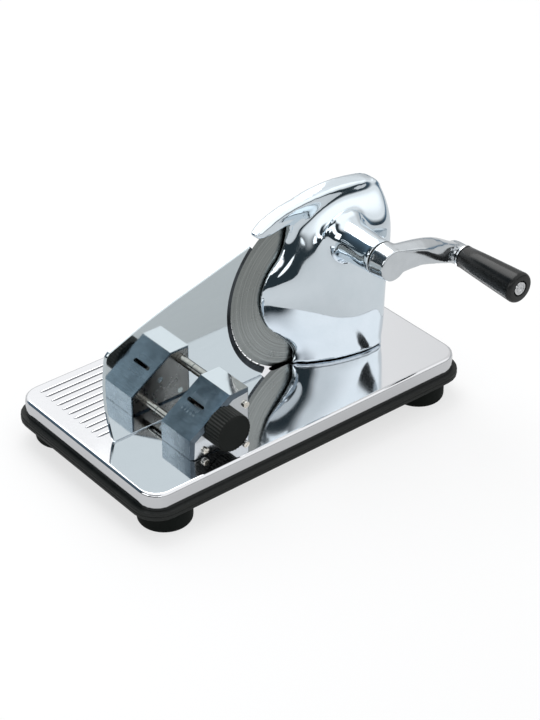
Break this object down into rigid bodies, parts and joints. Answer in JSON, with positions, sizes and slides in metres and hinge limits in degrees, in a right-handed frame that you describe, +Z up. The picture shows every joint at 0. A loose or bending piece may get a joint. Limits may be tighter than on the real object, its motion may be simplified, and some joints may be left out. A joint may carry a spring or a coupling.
{
  "type": "hand crank meat slicer",
  "caption": "Hand crank food slicer with a polished ribbed base on rubber feet, a round blade in a sculpted casting, an adjustable guide plate and a cranked handle.",
  "frame": {"origin": "centre of the bounding box's underside, level with the soles of the feet", "axes": "+X along the base, from the scale housing towards the crank; +Y towards the side where the food is pushed along the ribs; +Z up"},
  "size_m": [0.3898, 0.2834, 0.2261],
  "materials": {
    "polished_steel": "mirror polished",
    "polished_casting": "polished and plated casting",
    "ground_steel": "ground in circles",
    "housing_metal": "satin",
    "screw_steel": "bright",
    "bush_bronze": "plain",
    "black_frame": "satin black",
    "black_grip": "glossy black",
    "foot_rubber": "dull black"
  },
  "bodies": {
    "stand": {"base_pan": "polished_steel", "under_frame": "black_frame", "foot_front_left": "foot_rubber", "foot_screw_front_left": "screw_steel", "foot_front_right": "foot_rubber", "foot_screw_front_right": "screw_steel", "foot_rear_left": "foot_rubber", "foot_screw_rear_left": "screw_steel", "foot_rear_right": "foot_rubber", "foot_screw_rear_right": "screw_steel", "body_casting": "polished_casting", "body_screw_1": "screw_steel", "body_screw_2": "screw_steel", "body_screw_3": "screw_steel", "gear_cover": "housing_metal", "gear_cover_screw_1": "screw_steel", "gear_cover_screw_2": "screw_steel", "gear_cover_screw_3": "screw_steel", "gear_cover_screw_4": "screw_steel", "crank_bush_front": "bush_bronze", "crank_bush_rear": "bush_bronze", "blade_bush": "bush_bronze", "scale_housing": "housing_metal", "housing_back_plate": "housing_metal", "back_plate_screw_1": "screw_steel", "back_plate_screw_2": "screw_steel", "housing_screw_1": "screw_steel", "housing_screw_2": "screw_steel", "spindle_bearing_plate": "housing_metal", "front_screw_1": "screw_steel", "front_screw_2": "screw_steel", "front_screw_3": "screw_steel"},
    "crank": {"crank_gear": "ground_steel", "crank_shaft": "ground_steel", "crank_washer": "polished_casting", "crank_arm": "polished_casting", "crank_grub_screw": "screw_steel", "grip_collar": "polished_casting", "grip_pin": "ground_steel"},
    "grip": {"grip_handle": "black_grip"},
    "blade_set": {"blade": "ground_steel", "blade_shaft": "ground_steel", "blade_gear": "ground_steel", "blade_cap": "ground_steel", "blade_screw": "screw_steel"},
    "guide": {"guide_plate": "polished_steel", "guide_rod_upper": "ground_steel", "guide_rod_lower": "ground_steel", "rod_screw_upper": "screw_steel", "rod_screw_lower": "screw_steel", "carriage_yoke": "ground_steel", "thickness_pointer": "ground_steel"},
    "setting": {"setting_spindle": "ground_steel", "spindle_clip": "ground_steel", "setting_knob": "black_grip", "knob_grub_screw": "screw_steel"}
  },
  "joints": [
    {"name": "crank_turn", "type": "hinge", "parent": "stand", "child": "crank", "pos_m": [0.082, -0.06015, 0.18082], "axis": [0, -1, 0], "continuous": true},
    {"name": "grip_spin", "type": "hinge", "parent": "crank", "child": "grip", "pos_m": [0.17996, -0.10515, 0.14899], "axis": [0, -1, 0], "continuous": true},
    {"name": "blade_spin", "type": "hinge", "parent": "stand", "child": "blade_set", "pos_m": [0.05695, 0.01485, 0.1252], "axis": [0, -1, 0], "continuous": true},
    {"name": "knob_turn", "type": "hinge", "parent": "stand", "child": "setting", "pos_m": [-0.09555, -0.06115, 0.07297], "axis": [0, -1, 0], "range_deg": [0, 360]},
    {"name": "guide_slide", "type": "slide", "parent": "stand", "child": "guide", "axis": [0, -1, 0], "range_m": [0, 0.018]}
  ],
  "couplings": [
    {"joint": "blade_spin", "follows": "crank_turn", "ratio": -1.2593},
    {"joint": "knob_turn", "follows": "guide_slide", "rad_per_m": 349.07}
  ]
}
